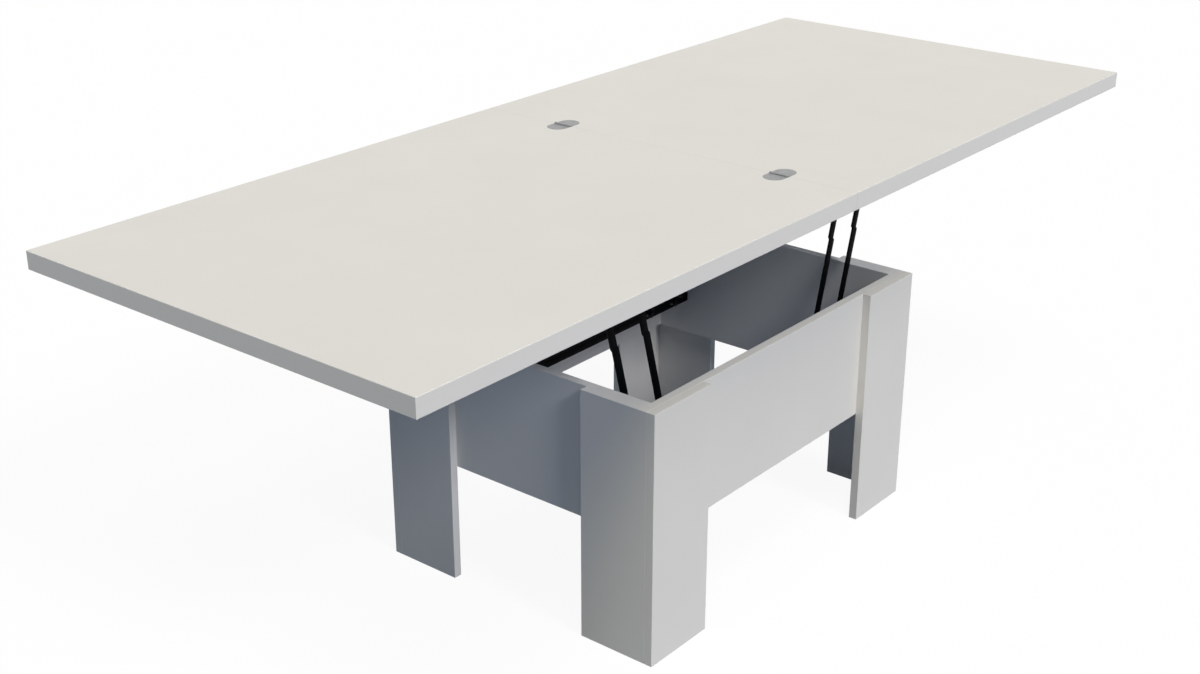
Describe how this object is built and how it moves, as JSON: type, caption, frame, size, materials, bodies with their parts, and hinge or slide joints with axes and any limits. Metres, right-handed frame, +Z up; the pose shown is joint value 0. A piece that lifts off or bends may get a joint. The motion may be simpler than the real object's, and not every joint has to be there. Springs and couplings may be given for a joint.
{
  "type": "extending dining table",
  "caption": "White laminated table whose hinged two-leaf top lifts and slides on black steel arms from an open box base, then folds out for dining.",
  "frame": {"origin": "middle of the base, on the floor", "axes": "+X along the open top, towards the folding leaf; +Y across the table, away from the near side; +Z up"},
  "size_m": [2, 0.8, 0.7423],
  "materials": {
    "laminate": "matt white laminate on particle board",
    "edge_band": "white ABS edge band",
    "softwood": "raw sawn softwood",
    "black_steel": "satin black powder coat",
    "satin_steel": "satin nickel",
    "zinc_fasteners": "zinc plated",
    "black_fasteners": "black zinc plated",
    "rubber": "matt rubber",
    "nylon": "white nylon",
    "black_nylon": "black nylon"
  },
  "bodies": {
    "base": {"apron_front": "laminate", "apron_back": "laminate", "apron_left": "laminate", "apron_right": "laminate", "leg_front_left_face": "laminate", "leg_front_left_end": "laminate", "leg_front_right_face": "laminate", "leg_front_right_end": "laminate", "leg_back_left_face": "laminate", "leg_back_left_end": "laminate", "leg_back_right_face": "laminate", "leg_back_right_end": "laminate", "corner_blocks": "softwood", "base_rail_near": "black_steel", "base_rail_far": "black_steel", "base_rail_screws": "zinc_fasteners", "lower_pivot_bolts": "black_fasteners", "lower_spacers": "black_nylon", "stop_bolts": "black_fasteners", "stop_buffers": "rubber"},
    "lift_levers": {"lift_lever_near": "black_steel", "lift_lever_far": "black_steel", "torsion_tube": "black_steel"},
    "lift_arms": {"lift_arm_near": "black_steel", "lift_arm_far": "black_steel"},
    "fixed_top": {"fixed_leaf": "laminate", "fixed_leaf_edging": "edge_band", "top_rail_near": "black_steel", "top_rail_far": "black_steel", "top_rail_screws": "zinc_fasteners", "lift_upper_bolts": "black_fasteners", "lift_upper_washers": "black_nylon", "rest_pads": "rubber", "hinge_plates_fixed": "satin_steel", "hinge_pins": "satin_steel", "hinge_screws_fixed": "satin_steel"},
    "fold_top": {"folding_leaf": "laminate", "folding_leaf_edging": "edge_band", "hinge_plates_leaf": "satin_steel", "hinge_screws_leaf": "satin_steel"},
    "support_levers": {"support_lever_near": "black_steel", "support_lever_far": "black_steel"},
    "support_arms": {"support_arm_near": "black_steel", "support_arm_far": "black_steel"},
    "support_frame": {"support_rail_near": "black_steel", "support_rail_far": "black_steel", "support_cross_tubes": "black_steel", "support_bolts": "black_fasteners", "support_washers": "black_nylon", "glide_pads": "nylon"}
  },
  "joints": [
    {"name": "lift", "type": "hinge", "parent": "base", "child": "lift_levers", "pos_m": [-0.223, 0, 0.306], "axis": [0, 1, 0], "range_deg": [0, 84.72]},
    {"name": "lift_arm_swing", "type": "hinge", "parent": "base", "child": "lift_arms", "pos_m": [-0.303, 0, 0.306], "axis": [0, 1, 0], "range_deg": [0, 84.72]},
    {"name": "top_level", "type": "hinge", "parent": "lift_levers", "child": "fixed_top", "pos_m": [-0.33053, 0, 0.697], "axis": [0, -1, 0], "range_deg": [0, 84.72]},
    {"name": "support_lever_swing", "type": "hinge", "parent": "base", "child": "support_levers", "pos_m": [0.223, 0, 0.306], "axis": [0, -1, 0], "range_deg": [0, 84.72]},
    {"name": "support_arm_swing", "type": "hinge", "parent": "base", "child": "support_arms", "pos_m": [0.303, 0, 0.306], "axis": [0, -1, 0], "range_deg": [0, 84.72]},
    {"name": "support_level", "type": "hinge", "parent": "support_levers", "child": "support_frame", "pos_m": [0.33053, 0, 0.697], "axis": [0, 1, 0], "range_deg": [0, 84.72]},
    {"name": "leaf_fold", "type": "hinge", "parent": "fixed_top", "child": "fold_top", "pos_m": [0, 0, 0.7403], "axis": [0, -1, 0], "range_deg": [0, 180]}
  ],
  "couplings": [
    {"joint": "lift_arm_swing", "follows": "lift", "ratio": 1},
    {"joint": "top_level", "follows": "lift", "ratio": 1},
    {"joint": "support_lever_swing", "follows": "lift", "ratio": 1},
    {"joint": "support_arm_swing", "follows": "lift", "ratio": 1},
    {"joint": "support_level", "follows": "lift", "ratio": 1}
  ]
}
